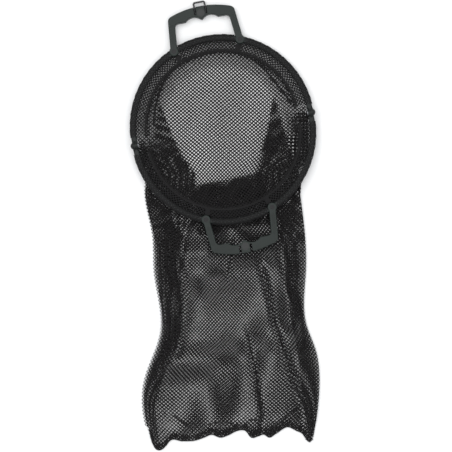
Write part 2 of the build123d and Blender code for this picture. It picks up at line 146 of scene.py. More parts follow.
def bag_to_frame(x, y, z):
    """From the bag's own axes, x across and y up its length, to the frame: a turn about Z by the lean.

    z is an array like x, or one height for all."""
    c, s = math.cos(BAG_LEAN), math.sin(BAG_LEAN)
    return np.stack([c * x + s * y, c * y - s * x, z + 0 * x], axis=-1)


def frame_to_bag(points):
    """The turn of bag_to_frame undone, for an array of points."""
    c, s = math.cos(BAG_LEAN), math.sin(BAG_LEAN)
    return np.stack([c * points[:, 0] - s * points[:, 1], s * points[:, 0] + c * points[:, 1]], axis=-1)


def extent(nodes, levels):
    """Lowest and highest place across the bag of some CAD nodes, at each of the levels along it.

    Each edge of their meshes that crosses a level gives the point where it does, in proportion."""
    starts, finishes = [], []
    for node in nodes:
        mesh = frame["nodes"][node].data
        co = np.zeros(len(mesh.vertices) * 3)
        mesh.vertices.foreach_get("co", co)
        flat = frame_to_bag(co.reshape(-1, 3))
        ends = np.zeros(len(mesh.edges) * 2, int)
        mesh.edges.foreach_get("vertices", ends)
        starts.append(flat[ends[0::2]])
        finishes.append(flat[ends[1::2]])
    a, b = np.concatenate(starts), np.concatenate(finishes)
    run = b[:, 1] - a[:, 1]
    low, high = [], []
    for level in levels:
        t = (level - a[:, 1]) / np.where(run == 0, 1e-12, run)
        hit = (t >= 0) & (t <= 1)
        place = (a + t[:, None] * (b - a))[hit, 0]
        low.append(place.min())
        high.append(place.max())
    return np.array(low), np.array(high)


def make_mesh(name, points, quads, material):
    """A smooth-shaded mesh object from an array of points and an array of four-sided faces."""
    mesh = bpy.data.meshes.new(name)
    mesh.vertices.add(len(points))
    mesh.vertices.foreach_set("co", points.astype(np.float32).ravel())
    mesh.loops.add(quads.size)
    mesh.loops.foreach_set("vertex_index", quads.astype(np.int32).ravel())
    mesh.polygons.add(len(quads))
    mesh.polygons.foreach_set("loop_start", np.arange(0, quads.size, 4, dtype=np.int32))
    mesh.polygons.foreach_set("use_smooth", np.ones(len(quads), bool))
    mesh.update(calc_edges=True)
    mesh.validate()
    mesh.materials.append(material)
    obj = bpy.data.objects.new(name, mesh)
    bpy.context.scene.collection.objects.link(obj)
    return obj


def openings(i_range, j_range):
    """The lattice points of a net that are the middles of its openings: those where i + j is odd."""
    across, along = np.arange(i_range[0] + 1, i_range[1]), np.arange(j_range[0] + 1, j_range[1])
    i, j = np.meshgrid(across, along, indexing="ij")
    both = np.stack([i, j], -1).reshape(-1, 2)
    return both[both.sum(1) % 2 != 0]


# Corners of an opening round its middle, in quarter diagonals: a knot and a strand's middle in turn.
CORNERS = np.array([(0, 2), (1, 1), (2, 0), (1, -1), (0, -2), (-1, -1), (-2, 0), (-1, 1)])
REACH = 100000  # larger than any lattice number
SLOPE_STEP = 0.06  # half diagonals to each side over which a surface's slope is taken


def net(name, surface, cells, material, strand=STRAND):
    """A diamond net over surface(i, j) in half diagonals, as one closed mesh of strands.

    Knots stand where i + j is even, and each of the cells is an opening with eight corners. A strand is a
    ridge: its middle line is raised along the surface's normal by half its thickness, above and below, and
    it comes down to the openings' edges. An outer strand is closed by a wall along its middle line."""
    corner = 2 * cells[:, None, :] + CORNERS
    keys, index = np.unique((corner[..., 0] * REACH + corner[..., 1]).ravel(), return_inverse=True)
    index = index.reshape(len(cells), 8)
    row = np.round(keys / REACH).astype(int)
    line = np.stack([row, keys - row * REACH], -1) / 2
    is_knot = keys % 2 == 0

    mid_in = 1 - strand / MESH * math.sqrt(2)
    knot_in = 1 - KNOT / MESH * strand / STRAND
    shrink = np.where(np.arange(8) % 2 == 0, knot_in, mid_in)[:, None]
    edge = (cells[:, None, :] + CORNERS / 2 * shrink).reshape(-1, 2)

    i, j = line[:, 0], line[:, 1]
    at = surface(i, j)
    across = surface(i + SLOPE_STEP, j) - surface(i - SLOPE_STEP, j)
    along = surface(i, j + SLOPE_STEP) - surface(i, j - SLOPE_STEP)
    normal = np.cross(across, along)
    normal /= np.linalg.norm(normal, axis=1)[:, None] + 1e-15
    rise = np.where(is_knot, THICK / 2, STRAND_THICK * THICK / 2)[:, None] * normal
    points = np.concatenate([at + rise, at - rise, surface(edge[:, 0], edge[:, 1])])

    n = len(line)
    hole = 2 * n + np.arange(len(edge)).reshape(-1, 8)
    index_next, hole_next = np.roll(index, -1, 1), np.roll(hole, -1, 1)
    top = np.stack([index, hole, hole_next, index_next], -1).reshape(-1, 4)
    bottom = np.stack([index + n, index_next + n, hole_next, hole], -1).reshape(-1, 4)
    quads = [top, bottom]
    codes = cells[:, 0] * REACH + cells[:, 1]
    for side, (di, dj) in enumerate([(1, 1), (1, -1), (-1, -1), (-1, 1)]):
        outer = ~np.isin(codes + di * REACH + dj, codes)
        for k in (2 * side, 2 * side + 1):
            a, b = index[outer, k], index_next[outer, k]
            quads.append(np.stack([a, b, b + n, a + n], -1))
    obj = make_mesh(name, points, np.concatenate(quads), material)
    obj["flat_area"] = len(cells) * 2 * HALF * HALF
    return obj


# --- Materials -----------------------------------------------------------------------------------------
DRIFT_SCALE = 45.0  # one cloud of the slow colour drift is about 22 mm across
ROUGH_SPREAD = 0.08  # how far the roughness wanders to each side


def srgb(code):
    """sRGB hex colour to linear RGBA, by the standard's two-part curve."""
    parts = [int(code[i : i + 2], 16) / 255 for i in (1, 3, 5)]
    return tuple(c / 12.92 if c <= 0.04045 else ((c + 0.055) / 1.055) ** 2.4 for c in parts) + (1.0,)


def add(tree, kind, settings=(), links=()):
    """One node with its settings (a property's name, or an input's name or number) and its links."""
    node = tree.nodes.new(kind)
    for key, value in settings:
        if isinstance(key, str) and hasattr(node, key):
            setattr(node, key, value)
        else:
            node.inputs[key].default_value = value
    for key, socket in links:
        tree.links.new(socket, node.inputs[key])
    return node


def finish(name, base, shade, roughness, grain, bump, gloss=0.5, sheen=0.0, metallic=0.0, coat=0.0):
    """Principled finish whose colour drifts from base to shade and whose surface has a fine grain.

    grain is the size of one grain and bump its depth, both in millimetres."""
    material = bpy.data.materials.new(name)
    material.use_nodes = True
    tree = material.node_tree
    shader = tree.nodes["Principled BSDF"]
    for socket, value in (
        ("Metallic", metallic), ("Coat Weight", coat), ("Sheen Weight", sheen), ("Sheen Roughness", 0.4),
        ("Specular IOR Level", gloss),
    ):
        shader.inputs[socket].default_value = value
    place = add(tree, "ShaderNodeTexCoord").outputs["Object"]
    slow, quick = [("Scale", DRIFT_SCALE), ("Detail", 3.0)], [("Scale", 1 / (grain * MM)), ("Detail", 2.0)]
    drift = add(tree, "ShaderNodeTexNoise", slow, [("Vector", place)])
    colours = [("data_type", "RGBA"), (6, srgb(base)), (7, srgb(shade))]
    mix = add(tree, "ShaderNodeMix", colours, [(0, drift.outputs[0])])
    tree.links.new(mix.outputs[2], shader.inputs["Base Color"])
    fine = add(tree, "ShaderNodeTexNoise", quick, [("Vector", place)])
    span = [("To Min", roughness - ROUGH_SPREAD), ("To Max", roughness + ROUGH_SPREAD)]
    rough = add(tree, "ShaderNodeMapRange", span, [("Value", fine.outputs[0])])
    tree.links.new(rough.outputs[0], shader.inputs["Roughness"])
    relief = add(tree, "ShaderNodeBump", [("Distance", bump * MM)], [("Height", fine.outputs[0])])
    tree.links.new(relief.outputs[0], shader.inputs["Normal"])
    return material


# Twisted polyester yarn, dyed and knotted: a warm black with next to no shine and a trace of fuzz.
net_black = finish("knotted_polyester_net", "#1c1a1b", "#110f10", 0.6, 0.5, 0.12, gloss=0.2, sheen=0.04)
# The same yarn drawn tight over the hoop: as dull, and a shade cooler where it is stretched.
sleeve_black = finish("polyester_net_sleeve", "#1c1b1c", "#111011", 0.6, 0.5, 0.12, gloss=0.2, sheen=0.04)
# Net rolled round its own edge: fibres stand out, so it is a little paler and duller, with a coarse grain.
hem_black = finish("rolled_net_hem", "#1f1d1e", "#121112", 0.7, 0.9, 0.3, gloss=0.2, sheen=0.05)
# Woven polyester tape: a deeper, matt black, with the weave as a grain that is drawn coarser than real.
tape_black = finish("woven_polyester_tape", "#161516", "#0d0c0d", 0.7, 0.8, 0.2, gloss=0.2, sheen=0.05)
# Nylon thread with a bonded coat: smoother than the yarn, so a faint line of light runs along it.
thread_black = finish("bonded_nylon_thread", "#1a1819", "#100e0f", 0.5, 0.3, 0.05, gloss=0.3)
# Polypropylene from a finely spark-eroded mould: dark green-grey, with a broad and soft gleam.
grip_green = finish("moulded_polypropylene_grip", "#222a27", "#181e1c", 0.42, 0.35, 0.02, gloss=0.25)
# The grip's polypropylene, darkened and greyed nearly without its green as painted shade for the hoop lying
# under its net sleeve; duller.
hoop_shaded = finish("moulded_polypropylene_hoop_painted_shade", "#151a19", "#0e1211", 0.5, 0.35, 0.02, gloss=0.3)
# Acetal from a smoother mould: near black, with a tighter gleam than the grip round it.
cap_dark = finish("moulded_acetal_cap", "#111615", "#0b0e0d", 0.35, 0.4, 0.01, gloss=0.4)
# Spring wire dipped in nylon: a clear, even skin with a bright thin line of light.
bail_black = finish("nylon_coated_wire", "#131314", "#0c0c0d", 0.3, 0.6, 0.01, coat=0.3)
# Steel blackened in a hot oxide bath: black with a dull metal gleam.
pin_black = finish("blackened_steel_pin", "#1b1b1c", "#121213", 0.35, 0.3, 0.01, metallic=0.6)
# Bright zinc plate on pressed steel: pale grey metal, slightly clouded.
washer_grey = finish("zinc_plated_washer", "#8d8f92", "#7a7c80", 0.35, 0.3, 0.01, metallic=1.0)

finishes = {
    hoop_shaded: ["rear_hoop", "front_hoop"],
    grip_green: ["rear_handle", "front_handle"],
    cap_dark: ["rear_grip_cap", "front_grip_cap"],
    bail_black: ["latch_bail"],
    pin_black: ["left_hinge_pin", "right_hinge_pin", "rear_handle_rivets", "front_handle_rivets"],
    washer_grey: ["left_hinge_washer", "right_hinge_washer"],
    tape_black: [
        "rear_seam_tape", "front_seam_tape", "rear_left_binding", "rear_right_binding", "front_left_binding",
        "front_right_binding",
    ],
}
for material, nodes in finishes.items():
    for node in nodes:
        frame["nodes"][node].data.materials.clear()
        frame["nodes"][node].data.materials.append(material)

# --- Outline of the bag ----------------------------------------------------------------------------------
POUCH_TOP = -0.075  # above this place along the bag its sides run out to the hoop
levels = np.linspace(-0.500, POUCH_TOP, 120)
side_low, side_high = extent(["back_net", "bottom_hem"], levels)
HOOP_SIDE = 0.141  # each side inside the hoop, past the seam
HOOP_RUN = 0.035  # length over which a side gets there


def bag_side(y, side):
    """Where the bag's left (-1) or right (1) side is, at a place y along its length, in its own axes."""
    below = np.interp(y, levels, side_low if side < 0 else side_high)
    return below + smooth((y - POUCH_TOP) / HOOP_RUN) * (side * HOOP_SIDE - below)


HEM_EDGE = [  # bottom edge of the bag: place across it, place along it
    (-0.121, -0.487), (-0.1165, -0.507), (-0.112, -0.518), (-0.101, -0.523), (-0.094, -0.517),
    (-0.088, -0.5095), (-0.066, -0.509), (-0.046, -0.508), (-0.031, -0.503), (-0.020, -0.4985),
    (-0.003, -0.503), (0.009, -0.499), (0.022, -0.4925), (0.040, -0.495), (0.045, -0.502), (0.057, -0.501),
    (0.067, -0.498), (0.0755, -0.503), (0.086, -0.497), (0.106, -0.486), (0.121, -0.4925), (0.130, -0.497),
    (0.136, -0.505), (0.1425, -0.510), (0.146, -0.503),
]
HEM_DEPTH = 11.0 * MM  # bottom edge to the hem's seam


def hem_edge(x):
    """Bottom edge of the bag at a place x across it."""
    return curve(np.clip(x, HEM_EDGE[0][0], HEM_EDGE[-1][0]), HEM_EDGE)


# Inner fold of each side of the bag, in the bag's axes: place along the bag, place across it. Inside the
# hoop it is the edge of the mouth, and below the hoop the fold of the gusset.
left_inner = [
    (0.060, -0.112), (0.041, -0.103), (-0.020, -0.078), (-0.093, -0.046), (-0.125, -0.080),
    (-0.165, -0.076), (-0.245, -0.071), (-0.300, -0.069), (-0.333, -0.0716), (-0.356, -0.076),
    (-0.384, -0.088), (-0.405, -0.096), (-0.435, -0.108), (-0.470, -0.110), (-0.510, -0.104),
]
right_inner = [
    (0.076, 0.088), (0.056, 0.082), (0.021, 0.076), (-0.040, 0.062), (-0.085, 0.051), (-0.125, 0.084),
    (-0.165, 0.097), (-0.212, 0.104), (-0.262, 0.103), (-0.302, 0.110), (-0.373, 0.122), (-0.433, 0.130),
    (-0.510, 0.143),
]
# Outer edge of the fold beside the mouth: it ends in a point near the rear seam.
left_outer = [
    (0.060, -0.114), (0.041, -0.105), (-0.010, -0.112), (-0.050, -0.120), (-0.085, -0.127), (-0.11, -0.130),
]
right_outer = [
    (0.076, 0.090), (0.056, 0.084), (0.021, 0.092), (-0.002, 0.098), (-0.052, 0.116), (-0.085, 0.128),
    (-0.11, 0.130),
]
FOLD_TOP = {"left": 0.040, "right": 0.055}  # how far up the bag each side is folded in
MOUTH_START = -0.122  # below this place along the bag a side's fold reaches out to the bag's side
MOUTH_RUN = 0.03  # length over which it gets to its own outer edge beside the mouth

# The bag is one tube of net, folded flat. Its lattice numbers run across the back from left to right, in
# and out through the right gusset, back across the front, and in and out through the left gusset.
BACK = round(0.124 / HALF)  # half of the back's width, in half diagonals
RIGHT = round(0.034 / HALF)  # depth of the right gusset
LEFT = round(0.036 / HALF)  # depth of the left gusset
stations = np.cumsum([-BACK, 2 * BACK, RIGHT, RIGHT, 2 * BACK, LEFT, LEFT])
ROUND = 0.35  # rounding of the folds, in half diagonals
LAYER = 1.5 * MM  # from one layer of net to the next
FLOOR_GAP = 0.85 * MM  # from the floor to the middle of the lowest layer
LAYER_STEP = 1.5  # half diagonals to each side of a fold over which the net climbs to the next layer
SUNK = 1.6  # layers that the front lies lower where no gusset is under it
CLIMB = 0.034  # width of the rim inside the rear seam where the net climbs to the hoop
HEM_LEVEL = 2.1 * MM  # height towards which all layers are pressed at the hem
PRESSED = 0.35  # share of a layer's height over that level that is left at the hem
UNDER_TAPE = 1.6 * MM  # from the hoop's mid plane down to the back net at the seam
FRONT_TURN = 3  # half diagonals from a fold over which the front takes on its own shape
CALM = 0.03  # width at each side over which the ripples across and along die out
EDGE_FADE = 0.02  # width inside the gussets' inner folds over which the front sinks
CREST_FADE = 0.03  # length over which the front net rises to the crest
HEM_FADE = 0.035  # length over which the layers open out from the hem


def ripple(x, y, seed):
    """Shallow waves of the cloth between -1 and 1: three crossing sines 110, 69 and 195 mm long."""
    a = np.sin(x / 0.0175 + 0.6 * np.sin(y / 0.04 + seed) + seed)
    b = np.sin(x / 0.011 - y / 0.05 + 2.1 * seed)
    c = np.sin(y / 0.031 + x / 0.06 + 1.3 * seed)
    return 0.45 * a + 0.3 * b + 0.25 * c


def fold_outer(y, side):
    """Outer edge of a gusset's two layers: the bag's side below the hoop, and beside the mouth their own."""
    own = curve(y, left_outer if side < 0 else right_outer)
    return bag_side(y, side) + smooth((y - MOUTH_START) / MOUTH_RUN) * (own - bag_side(y, side))


def tube_x(i, y, of_fold):
    """Place across the bag of lattice number i: even spacing between the folds that it lies between.

    Where of_fold is set the outermost edges are those of the two folds beside the mouth."""
    right_edge, left_edge = fold_outer(y, 1), fold_outer(y, -1)
    left = np.where(of_fold, left_edge, bag_side(y, -1))
    right = np.where(of_fold, right_edge, bag_side(y, 1))
    spans = [
        (left, right), (right_edge, curve(y, right_inner)), (curve(y, right_inner), right_edge),
        (right, left), (left_edge, curve(y, left_inner)), (curve(y, left_inner), left_edge),
    ]
    x = spans[0][0] + np.minimum(i - stations[0], 0) / (2 * BACK) * (right - left)
    for k, (start, end) in enumerate(spans):
        count = stations[k + 1] - stations[k]
        t = np.clip((i - stations[k]) / count, 0, 1)
        if k in (1, 4):  # a gusset's way in, spread away from the inner fold that it ends at
            t = 1 - (1 - t) * fold_spread(y, start, end, count)
        if k in (2, 5):  # and its way out, spread away from the inner fold that it starts at
            t = t * fold_spread(y, start, end, count)
        x = np.where(i >= stations[k], start + t * (end - start), x)
    return x


def fold_spread(y, start, end, count):
    """Spread of a gusset's lattice: 1 below the hoop, and beside the mouth its flat width over the fold's.

    There it reaches past the fold's outer edge, where tube_cells cuts it off."""
    width = np.abs(end - start)
    reach = np.maximum(count * HALF / np.maximum(width, 1 * MM), 1)
    return 1 + smooth((y - MOUTH_START) / MOUTH_RUN) * (reach - 1)


def pleat_place(y, line, width, low, high):
    """Middle of a pleat as a lattice number of the front, and how strong it is at a place along the bag."""
    left, right = bag_side(y, -1), bag_side(y, 1)
    middle = stations[3] + 2 * BACK * (right - curve(y, line)) / (right - left)
    return middle, smooth((y - low) / PLEAT_FADE) * smooth((high - y) / PLEAT_FADE) * width


PLEAT_FADE = 0.04  # length over which a pleat runs out at each end
PLEATS = [  # width in half diagonals, where it ends below and above, line (along the bag, across it)
    (2.2, -0.53, -0.20, [(-0.21, 0.060), (-0.259, 0.0724), (-0.3025, 0.0824), (-0.333, 0.0918),
                         (-0.377, 0.1055), (-0.408, 0.115), (-0.443, 0.1305), (-0.479, 0.142)]),
    (1.4, -0.50, -0.31, [(-0.30, 0.036), (-0.3326, 0.0404), (-0.3627, 0.0464), (-0.4027, 0.0544),
                         (-0.4687, 0.0614), (-0.5, 0.063)]),
    (2.6, -0.385, -0.12, [(-0.13, -0.074), (-0.20, -0.0706), (-0.278, -0.0696), (-0.333, -0.0716),
                          (-0.366, -0.079)]),
    (1.8, -0.41, -0.14, [(-0.13, -0.097), (-0.20, -0.0925), (-0.27, -0.092), (-0.31, -0.088),
                         (-0.353, -0.092), (-0.40, -0.104)]),
    (1.3, -0.34, -0.15, [(-0.14, -0.106), (-0.22, -0.102), (-0.28, -0.100), (-0.34, -0.098)]),
    (2.4, -0.33, -0.14, [(-0.14, 0.090), (-0.165, 0.094), (-0.212, 0.101), (-0.262, 0.110),
                         (-0.302, 0.119)]),
    (1.3, -0.26, -0.14, [(-0.13, 0.112), (-0.20, 0.118), (-0.26, 0.120)]),
    (1.2, -0.26, -0.16, [(-0.12, 0.020), (-0.20, 0.012), (-0.26, 0.004)]),
]


def pleat(i, y):
    """Slack taken up by pleats, in half diagonals: past each pleat's middle the net doubles back on itself.

    With t the distance from the middle over the width, it is 2 t exp(-t^2) for each pleat."""
    total = 0 * i
    for width, low, high, line in PLEATS:
        middle, strength = pleat_place(y, line, width, low, high)
        t = (i - middle) / width
        total = total + strength * 2.0 * t * np.exp(-t * t)
    return total


def pleat_lift(i, y):
    """Height of the pleats: each of the net's three layers in a pleat lies over the one before."""
    total = 0 * i
    for width, low, high, line in PLEATS:
        middle, strength = pleat_place(y, line, width, low, high)
        t = (i - middle) / width
        total = total + strength / width * 2 * LAYER * smooth((t + 0.9) / 1.8) * (1 - smooth((t - 1) / 2.5))
    return total


# Height of the bulge in millimetres at places along the bag.
PUFF = [(-0.60, 0), (-0.475, 0), (-0.385, 6.0), (-0.301, 11.5), (-0.232, 9.0), (-0.166, 0), (0.2, 0)]
PUFF_SIDE = 0.3  # share of the bag's width over which it rises from each side


def puff(x, y):
    """Height of the empty pouch's front over its lowest level: a bulge along the bag, nought at the sides."""
    along = steps(y, PUFF) * MM
    left, right = bag_side(y, -1), bag_side(y, 1)
    share = (x - left) / (right - left)
    return along * smooth(share / PUFF_SIDE) * smooth((1 - share) / PUFF_SIDE)


# Layers of the tube over the floor: (lattice number, layer), up to the front and down again at the folds.
LAYERS = [(-60, 0), (260, 0)]
for k, (before, after) in enumerate([(0, 1), (1, 2), (2, 3), (3, 2), (2, 1), (1, 0)]):
    LAYERS += [(stations[k + 1] - LAYER_STEP, before), (stations[k + 1] + LAYER_STEP, after)]


def tube(i, j):
    """The folded tube: x from tube_x, y along the bag, z from the layer, the puff and the rise to the seam.

    x is the mean of two places ROUND to each side, which rounds the folds. Below the mouth the front's y
    leans with the crest, and both drift by ripples that die out at the sides."""
    i_in = i - pleat(i, j * HALF)
    y = j * HALF
    of_fold = ((i >= stations[1]) & (i <= stations[3])) | (i >= stations[4])
    x = (tube_x(i_in - ROUND, y, of_fold) + tube_x(i_in + ROUND, y, of_fold)) / 2
    on_front = smooth((i - stations[3] + 1) / FRONT_TURN) * smooth((stations[4] + 1 - i) / FRONT_TURN)
    fade = smooth((-0.1 - y) / 0.1)
    y = y + on_front * (1 - fade) * math.tan(BAG_LEAN) * x
    left, right = tube_x(stations[4], y, of_fold), tube_x(stations[3], y, of_fold)
    inside = smooth((x - left) / CALM) * smooth((right - x) / CALM)
    seed = 1.0 + 2.3 * on_front
    drift_x = 1.6 * MM * ripple(1.2 * y, 0.5 * x, seed) * inside
    drift_y = 1.8 * MM * ripple(x, y, seed + 1) * inside
    x, y = x + drift_x, y + drift_y
    flat = bag_to_frame(x, y, 0)

    # Height: the layer, less where the front has no gusset under it, then the waves, pleats and puff, and
    # last the crest, the hem and the climb to the hoop, each fading in over its own stretch.
    past_left, past_right = (x - curve(y, left_inner)) / EDGE_FADE, (curve(y, right_inner) - x) / EDGE_FADE
    middle = smooth(past_left) * smooth(past_right)
    layer = steps(i, LAYERS) - SUNK * on_front * middle
    from_bend = np.hypot(flat[:, 0], flat[:, 1] - STRAIGHT)
    rear = smooth((flat[:, 1] + 0.045) / 0.06)
    climb = smooth((from_bend - (seam_r - CLIMB)) / CLIMB) * rear
    z = FLOOR_GAP + LAYER * layer * (1 - 0.6 * climb) + 0.3 * MM * (1 + ripple(x, y, 0.7 + layer))
    waves = 0.8 * MM * ripple(x * 1.3, y, 2.0) * smooth((-0.2 - y) / 0.05)
    z = z + on_front * (pleat_lift(i, y) + puff(x, flat[:, 1]) + waves)
    z = z + on_front * smooth((y + 0.11) / CREST_FADE) * middle * (crest_low[2] - z)
    off_hem = smooth((y - hem_edge(x) - HEM_DEPTH) / HEM_FADE)
    z = HEM_LEVEL + (z - HEM_LEVEL) * (PRESSED + (1 - PRESSED) * off_hem)
    z = z + climb * (mid_height(flat[:, 1]) - UNDER_TAPE - FLOOR_GAP)
    return np.concatenate([flat[:, :2], z[:, None]], axis=1)


CREST_J = round(crest_low[1] / math.cos(BAG_LEAN) / HALF)  # the front net's upper edge
BOTTOM_J = -round(0.53 / HALF)  # past the hem
TOP_J = round(0.13 / HALF)  # past the rear seam
SEAM_GAP = 1 * MM  # how far openings stay off a seam, and how far they may pass a fold


def within_seam(points, turn):
    """Places inside the seam of one half of the hoop, or between the ends of the two sleeves.

    turn is 1 for the rear half and -1 for the front half."""
    from_bend = np.hypot(points[:, 0], turn * points[:, 1] - STRAIGHT)
    in_hoop = np.abs(points[:, 0]) < ring_r - RING_W / 2 - SEAM_GAP
    return (from_bend < seam_r - SEAM_GAP) | ((np.abs(points[:, 1]) < SLEEVE_START) & in_hoop)


def tube_cells(first, last, low, high):
    """Openings of the tube between two lattice numbers across it and two along it, trimmed to the bag.

    They stay inside the rear seam and above the hem. Inside the hoop a gusset stays within its fold and the
    front between the two inner folds."""
    cells = openings((first - 1, last), (low - 1, high))
    at = tube(cells[:, 0] * 1.0, cells[:, 1] * 1.0)
    flat = frame_to_bag(at)
    x, y = flat[:, 0], flat[:, 1]
    inside = (at[:, 1] < 0) | within_seam(at, 1)
    front = (cells[:, 0] > stations[3]) & (cells[:, 0] < stations[4])
    between = (x > curve(y, left_inner) - 0.012) & (x < curve(y, right_inner) + 0.012)
    if first > 0 and last - first < 2 * BACK:
        in_fold = (x > fold_outer(y, -1) - SEAM_GAP) & (x < fold_outer(y, 1) + SEAM_GAP)
        inside &= (y < -0.11) | in_fold
    return cells[inside & (y > hem_edge(x) + 3 * MM) & (~front | between | (y < -0.1))]


# The back and the front are each cut in two, so that no mesh is too heavy.
BACK_SPLIT = -2 * round(0.1 / HALF)
FRONT_SPLIT = BACK_SPLIT - 12
parts = {  # first and last lattice number across, first and last along, strand, the CAD node it stands for
    "back_net_upper": (-BACK, BACK, BACK_SPLIT, TOP_J, BACK_STRAND, "back_net"),
    "back_net_lower": (-BACK, BACK, BOTTOM_J, BACK_SPLIT, LOWER_STRAND, None),
    "right_side_net": (
        stations[1], stations[3], BOTTOM_J, round(FOLD_TOP["right"] / HALF), SIDE_STRAND, "right_gusset"
    ),
    "left_side_net": (
        stations[4], stations[6], BOTTOM_J, round(FOLD_TOP["left"] / HALF), SIDE_STRAND, "left_gusset"
    ),
    "front_net_upper": (stations[3], stations[4], FRONT_SPLIT, CREST_J, STRAND, "front_net"),
    "front_net_lower": (stations[3], stations[4], BOTTOM_J, FRONT_SPLIT, STRAND, None),
}
nets = {}
for name, (first, last, low, high, strand, node) in parts.items():
    nets[name] = net(name, tube, tube_cells(first, last, low, high), net_black, strand)
    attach(nets[name], "rear_frame")
    if node:
        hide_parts(node)

# --- Slack of the front net ---------------------------------------------------------------------------
CREST_STEPS = 2 * round(0.046 / HALF)  # half diagonals between the ends of a crest
PANEL_STEPS = 2 * round(0.0405 / HALF)  # half diagonals from a crest to the lower fold
BELLY = 0.8 * MM  # how far each panel bulges away from the other


def panel(crest, lift):
    """Surface from a crest to the lower fold: straight across, and down by even steps t from 0 to 1.

    It bulges off the straight line between the two by lift times the root of sin(pi t)."""

    def surface(i, j):
        t = j / PANEL_STEPS
        left = CREST_X[0] + t * (FOLD_X[0] - CREST_X[0])
        right = CREST_X[1] + t * (FOLD_X[1] - CREST_X[1])
        x = left + i / CREST_STEPS * (right - left)
        belly = lift * np.sin(np.pi * np.clip(t, 0, 1)) ** 0.5
        z = crest[2] + t * (FOLD_Z - crest[2]) + belly + 0.15 * MM * ripple(x, t * 0.08, 4.0)
        return np.stack([x, crest[1] + t * (fold_y - crest[1]), z], axis=-1)

    return surface


for side, crest, lift in (("upper", crest_up, BELLY), ("lower", crest_low, -BELLY)):
    name = f"throat_{side}_panel"
    nets[name] = net(name, panel(crest, lift), openings((0, CREST_STEPS), (0, PANEL_STEPS)), net_black)
    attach(nets[name], f"throat_{side}")
    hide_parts(f"throat_{side}_net")

# --- Front half of the mouth -----------------------------------------------------------------------------
MOUTH_LEAN = (-20.0 * MM, 40.0 * MM)  # how far each side of the mouth moves out up to the hinge line
LEAN_STEPS = 8  # half diagonals from each end of the crest over which the net leans with that side
CREST_REACH = 2.5  # half diagonals in front of the crest over which the net comes to its height
RIM_START, RIM_WIDTH = 0.095, 0.024  # distance from the bend's middle where the ripples fade, and over what


def lip(i, j):
    """Front half of the mouth: level in the hoop's plane, with its sides sheared out to the mouth's edges.

    At the crest it meets the upper panel's own edge."""
    y = crest_up[1] - j * HALF
    open_y = np.clip((y - crest_up[1]) / -crest_up[1], 0, 1.1)
    scale = (CREST_X[1] - CREST_X[0]) / CREST_STEPS
    x = CREST_X[0] + i * scale
    left, right = smooth(1 - i / LEAN_STEPS), smooth(1 - (CREST_STEPS - i) / LEAN_STEPS)
    x = x + open_y * (MOUTH_LEAN[0] * left + MOUTH_LEAN[1] * right)
    local_y = y / math.cos(lay_tilt)
    on_crest = smooth(1 - j / CREST_REACH) * ((i >= 0) & (i <= CREST_STEPS))
    rim = smooth((np.hypot(x, y + STRAIGHT) - RIM_START) / RIM_WIDTH)
    z = 0.5 * MM + 0.7 * MM * ripple(x, y, 5.0) * (1 - rim)
    crest_local = (crest_up[2] - mid_height(crest_up[1])) / math.cos(lay_tilt)
    z = z + on_crest * (crest_local - z)
    return lay(x, local_y, z)


# The lip fills the front half of the hoop in front of the crest and beside it, but for a crescent at the
# right that shows the back, between the fold beside the mouth and a band along the seam.
cells = openings((-40, CREST_STEPS + 48), (-32, 18))
at = lip(cells[:, 0] * 1.0, cells[:, 1] * 1.0)
flat = frame_to_bag(at)
kept = within_seam(at, -1) & (at[:, 1] < -SEAM_GAP)
kept &= (cells[:, 1] > 0) | (cells[:, 0] < 0) | (cells[:, 0] > CREST_STEPS)
left_of_crescent = flat[:, 0] < curve(flat[:, 1], right_outer) + SEAM_GAP
right_of_crescent = at[:, 0] > seam_r - 15 * MM
kept &= (flat[:, 1] < -0.055) | left_of_crescent | right_of_crescent
lip_net = net("front_lip_net_panel", lip, cells[kept], net_black)
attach(lip_net, "front_frame")
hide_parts("front_lip_net")

# --- Sleeves -------------------------------------------------------------------------------------------
WRAP = 26  # half diagonals from the seam round the hoop and back to it
# Half of a sleeve's section: distance out from the hoop's centre line, height over its mid plane.
SECTION = np.array([
    (-26, 0.8), (-11.0, 0.85), (-6.4, 1.5), (-5.2, 3.2), (-3.5, 4.55), (0.0, 4.75), (3.3, 4.6), (5.1, 3.0),
    (5.3, 0),
]) * MM
section = np.concatenate([SECTION, SECTION[-2::-1] * (1, -1)])
run = np.concatenate([[0], np.cumsum(np.linalg.norm(np.diff(section, axis=0), axis=1))])
start_angle = math.asin((SLEEVE_START - STRAIGHT) / ring_r)
ARC_STEPS = 2 * round((math.pi - 2 * start_angle) * (ring_r - 8 * MM) / HALF / 2)


def sleeve(turn):
    """Surface of a sleeve: the section carried round the bend of the rear half (1) or the front half (-1).

    i runs along the bend by even angles, and j round the section by its length."""

    def surface(i, j):
        s = np.clip(j / WRAP, 0, 1) * run[-1]
        r = ring_r + np.interp(s, run, section[:, 0])
        z = np.interp(s, run, section[:, 1])
        angle = start_angle + i / ARC_STEPS * (math.pi - 2 * start_angle)
        slack = 0.25 * MM * np.sin(angle * 61 + j) * np.sin(np.pi * j / WRAP) ** 2
        x, y = (r + slack) * np.cos(angle), STRAIGHT + (r + slack) * np.sin(angle)
        return lay(turn * x, turn * y, z)

    return surface


FOOT_HOLE = 9.3 * MM  # radius of the sleeve's hole round a foot
LEG_SLIT = 8 * MM  # half the width of the slit for a leg


def leg_x(y):
    """Distance of a handle's leg from its middle, at a distance y from the hinge line."""
    return FOOT_X - (y - foot_y) * math.tan(LEG_LEAN)


